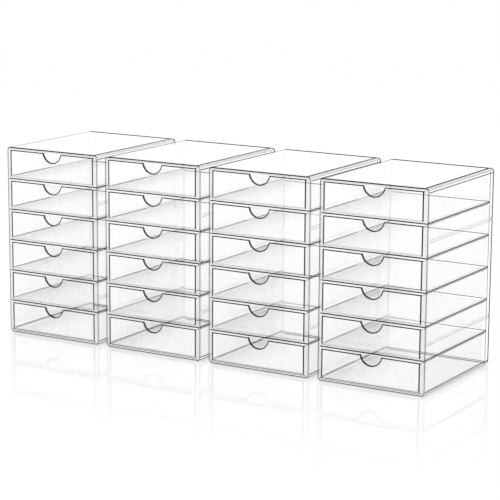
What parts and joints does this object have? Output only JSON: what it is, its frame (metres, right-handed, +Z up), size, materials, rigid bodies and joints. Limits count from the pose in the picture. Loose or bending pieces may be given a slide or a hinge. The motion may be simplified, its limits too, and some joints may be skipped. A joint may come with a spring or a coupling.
{
  "type": "drawer organizer",
  "caption": "Row of clear plastic desktop cases with stacked pull-out trays; each tray front has a half-round finger notch in its top edge.",
  "frame": {"origin": "middle of the row's footprint, on the surface it stands on", "axes": "+X along the row from the left case to the right one as seen from the front, -Y out of the drawer fronts, +Z up"},
  "size_m": [0.553, 0.165, 0.2245],
  "materials": {
    "clear_sheet": "clear glossy sheet with polished edges",
    "clear_tray": "clear glossy moulded plastic"
  },
  "bodies": {
    "cases": {"tower_1_sleeve": "clear_sheet", "tower_1_back_panel": "clear_sheet", "tower_1_shelf_1": "clear_sheet", "tower_1_shelf_2": "clear_sheet", "tower_1_shelf_3": "clear_sheet", "tower_1_shelf_4": "clear_sheet", "tower_1_shelf_5": "clear_sheet", "tower_2_sleeve": "clear_sheet", "tower_2_back_panel": "clear_sheet", "tower_2_shelf_1": "clear_sheet", "tower_2_shelf_2": "clear_sheet", "tower_2_shelf_3": "clear_sheet", "tower_2_shelf_4": "clear_sheet", "tower_2_shelf_5": "clear_sheet", "tower_3_sleeve": "clear_sheet", "tower_3_back_panel": "clear_sheet", "tower_3_shelf_1": "clear_sheet", "tower_3_shelf_2": "clear_sheet", "tower_3_shelf_3": "clear_sheet", "tower_3_shelf_4": "clear_sheet", "tower_3_shelf_5": "clear_sheet", "tower_4_sleeve": "clear_sheet", "tower_4_back_panel": "clear_sheet", "tower_4_shelf_1": "clear_sheet", "tower_4_shelf_2": "clear_sheet", "tower_4_shelf_3": "clear_sheet", "tower_4_shelf_4": "clear_sheet", "tower_4_shelf_5": "clear_sheet"},
    "tower_1_drawer_1": {"tower_1_drawer_1": "clear_tray"},
    "tower_1_drawer_2": {"tower_1_drawer_2": "clear_tray"},
    "tower_1_drawer_3": {"tower_1_drawer_3": "clear_tray"},
    "tower_1_drawer_4": {"tower_1_drawer_4": "clear_tray"},
    "tower_1_drawer_5": {"tower_1_drawer_5": "clear_tray"},
    "tower_1_drawer_6": {"tower_1_drawer_6": "clear_tray"},
    "tower_2_drawer_1": {"tower_2_drawer_1": "clear_tray"},
    "tower_2_drawer_2": {"tower_2_drawer_2": "clear_tray"},
    "tower_2_drawer_3": {"tower_2_drawer_3": "clear_tray"},
    "tower_2_drawer_4": {"tower_2_drawer_4": "clear_tray"},
    "tower_2_drawer_5": {"tower_2_drawer_5": "clear_tray"},
    "tower_2_drawer_6": {"tower_2_drawer_6": "clear_tray"},
    "tower_3_drawer_1": {"tower_3_drawer_1": "clear_tray"},
    "tower_3_drawer_2": {"tower_3_drawer_2": "clear_tray"},
    "tower_3_drawer_3": {"tower_3_drawer_3": "clear_tray"},
    "tower_3_drawer_4": {"tower_3_drawer_4": "clear_tray"},
    "tower_3_drawer_5": {"tower_3_drawer_5": "clear_tray"},
    "tower_3_drawer_6": {"tower_3_drawer_6": "clear_tray"},
    "tower_4_drawer_1": {"tower_4_drawer_1": "clear_tray"},
    "tower_4_drawer_2": {"tower_4_drawer_2": "clear_tray"},
    "tower_4_drawer_3": {"tower_4_drawer_3": "clear_tray"},
    "tower_4_drawer_4": {"tower_4_drawer_4": "clear_tray"},
    "tower_4_drawer_5": {"tower_4_drawer_5": "clear_tray"},
    "tower_4_drawer_6": {"tower_4_drawer_6": "clear_tray"}
  },
  "joints": [
    {"name": "tower_1_drawer_1_slide", "type": "slide", "parent": "cases", "child": "tower_1_drawer_1", "axis": [0, -1, 0], "range_m": [0, 0.13]},
    {"name": "tower_1_drawer_2_slide", "type": "slide", "parent": "cases", "child": "tower_1_drawer_2", "axis": [0, -1, 0], "range_m": [0, 0.13]},
    {"name": "tower_1_drawer_3_slide", "type": "slide", "parent": "cases", "child": "tower_1_drawer_3", "axis": [0, -1, 0], "range_m": [0, 0.13]},
    {"name": "tower_1_drawer_4_slide", "type": "slide", "parent": "cases", "child": "tower_1_drawer_4", "axis": [0, -1, 0], "range_m": [0, 0.13]},
    {"name": "tower_1_drawer_5_slide", "type": "slide", "parent": "cases", "child": "tower_1_drawer_5", "axis": [0, -1, 0], "range_m": [0, 0.13]},
    {"name": "tower_1_drawer_6_slide", "type": "slide", "parent": "cases", "child": "tower_1_drawer_6", "axis": [0, -1, 0], "range_m": [0, 0.13]},
    {"name": "tower_2_drawer_1_slide", "type": "slide", "parent": "cases", "child": "tower_2_drawer_1", "axis": [0, -1, 0], "range_m": [0, 0.13]},
    {"name": "tower_2_drawer_2_slide", "type": "slide", "parent": "cases", "child": "tower_2_drawer_2", "axis": [0, -1, 0], "range_m": [0, 0.13]},
    {"name": "tower_2_drawer_3_slide", "type": "slide", "parent": "cases", "child": "tower_2_drawer_3", "axis": [0, -1, 0], "range_m": [0, 0.13]},
    {"name": "tower_2_drawer_4_slide", "type": "slide", "parent": "cases", "child": "tower_2_drawer_4", "axis": [0, -1, 0], "range_m": [0, 0.13]},
    {"name": "tower_2_drawer_5_slide", "type": "slide", "parent": "cases", "child": "tower_2_drawer_5", "axis": [0, -1, 0], "range_m": [0, 0.13]},
    {"name": "tower_2_drawer_6_slide", "type": "slide", "parent": "cases", "child": "tower_2_drawer_6", "axis": [0, -1, 0], "range_m": [0, 0.13]},
    {"name": "tower_3_drawer_1_slide", "type": "slide", "parent": "cases", "child": "tower_3_drawer_1", "axis": [0, -1, 0], "range_m": [0, 0.13]},
    {"name": "tower_3_drawer_2_slide", "type": "slide", "parent": "cases", "child": "tower_3_drawer_2", "axis": [0, -1, 0], "range_m": [0, 0.13]},
    {"name": "tower_3_drawer_3_slide", "type": "slide", "parent": "cases", "child": "tower_3_drawer_3", "axis": [0, -1, 0], "range_m": [0, 0.13]},
    {"name": "tower_3_drawer_4_slide", "type": "slide", "parent": "cases", "child": "tower_3_drawer_4", "axis": [0, -1, 0], "range_m": [0, 0.13]},
    {"name": "tower_3_drawer_5_slide", "type": "slide", "parent": "cases", "child": "tower_3_drawer_5", "axis": [0, -1, 0], "range_m": [0, 0.13]},
    {"name": "tower_3_drawer_6_slide", "type": "slide", "parent": "cases", "child": "tower_3_drawer_6", "axis": [0, -1, 0], "range_m": [0, 0.13]},
    {"name": "tower_4_drawer_1_slide", "type": "slide", "parent": "cases", "child": "tower_4_drawer_1", "axis": [0, -1, 0], "range_m": [0, 0.13]},
    {"name": "tower_4_drawer_2_slide", "type": "slide", "parent": "cases", "child": "tower_4_drawer_2", "axis": [0, -1, 0], "range_m": [0, 0.13]},
    {"name": "tower_4_drawer_3_slide", "type": "slide", "parent": "cases", "child": "tower_4_drawer_3", "axis": [0, -1, 0], "range_m": [0, 0.13]},
    {"name": "tower_4_drawer_4_slide", "type": "slide", "parent": "cases", "child": "tower_4_drawer_4", "axis": [0, -1, 0], "range_m": [0, 0.13]},
    {"name": "tower_4_drawer_5_slide", "type": "slide", "parent": "cases", "child": "tower_4_drawer_5", "axis": [0, -1, 0], "range_m": [0, 0.13]},
    {"name": "tower_4_drawer_6_slide", "type": "slide", "parent": "cases", "child": "tower_4_drawer_6", "axis": [0, -1, 0], "range_m": [0, 0.13]}
  ]
}
